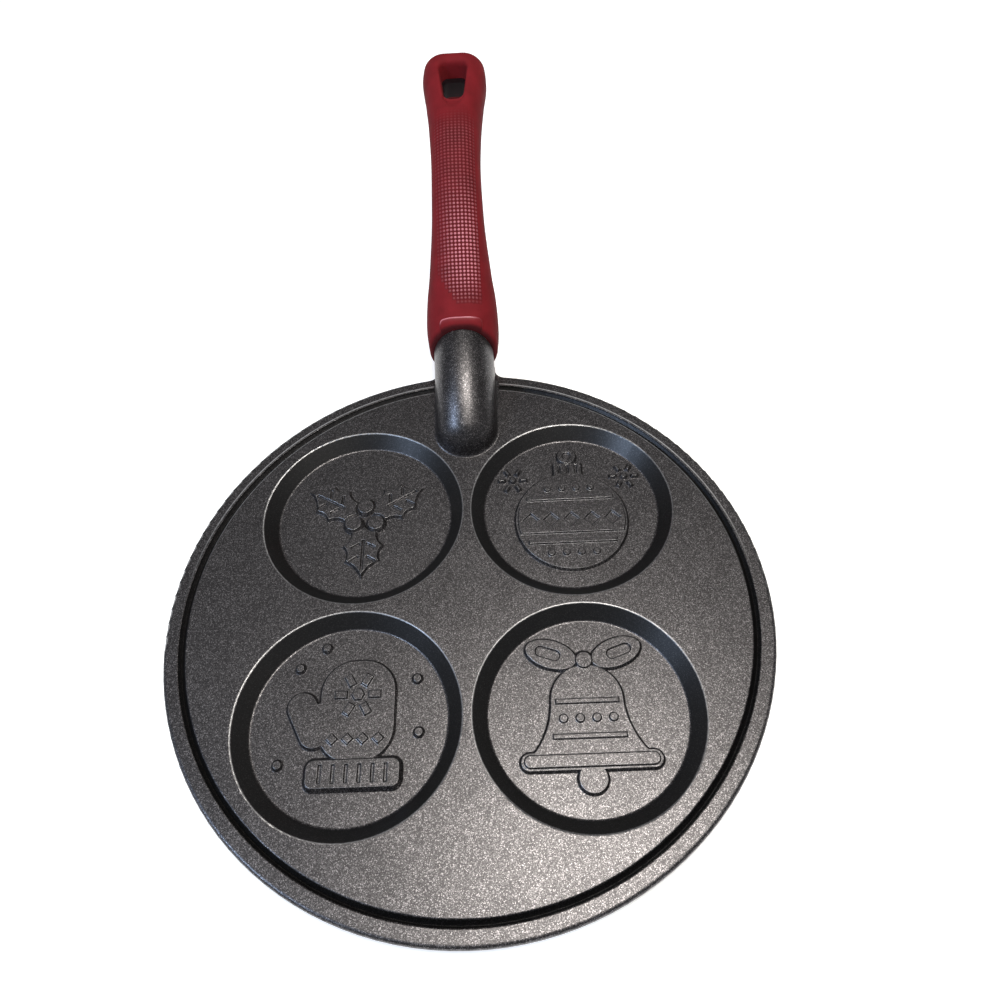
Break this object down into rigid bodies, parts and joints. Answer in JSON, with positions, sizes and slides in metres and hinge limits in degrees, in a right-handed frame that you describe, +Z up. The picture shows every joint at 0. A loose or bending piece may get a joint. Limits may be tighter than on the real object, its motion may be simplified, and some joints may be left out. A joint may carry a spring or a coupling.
{
  "type": "pancake pan",
  "caption": "Flat round griddle pan with shallow round wells holding raised pictures, and a soft-grip handle that rises from a boss on the rim.",
  "frame": {"origin": "centre of the pan's flat underside", "axes": "+Z up from the underside to the griddle surface, +Y from the pan's centre along the handle, +X to the right with the handle pointing away"},
  "size_m": [0.21, 0.3297, 0.0827],
  "materials": {
    "nonstick_coating": "charcoal speckled nonstick coating over cast aluminium",
    "core_plastic": "hard moulded plastic, fine texture",
    "soft_grip": "soft-touch crimson with a grid of small bumps",
    "fastener_steel": "zinc plated"
  },
  "bodies": {
    "root": {"pan_body": "nonstick_coating", "handle_core": "core_plastic", "grip_sleeve": "soft_grip", "handle_screw": "fastener_steel", "lock_washer": "fastener_steel"}
  },
  "joints": []
}
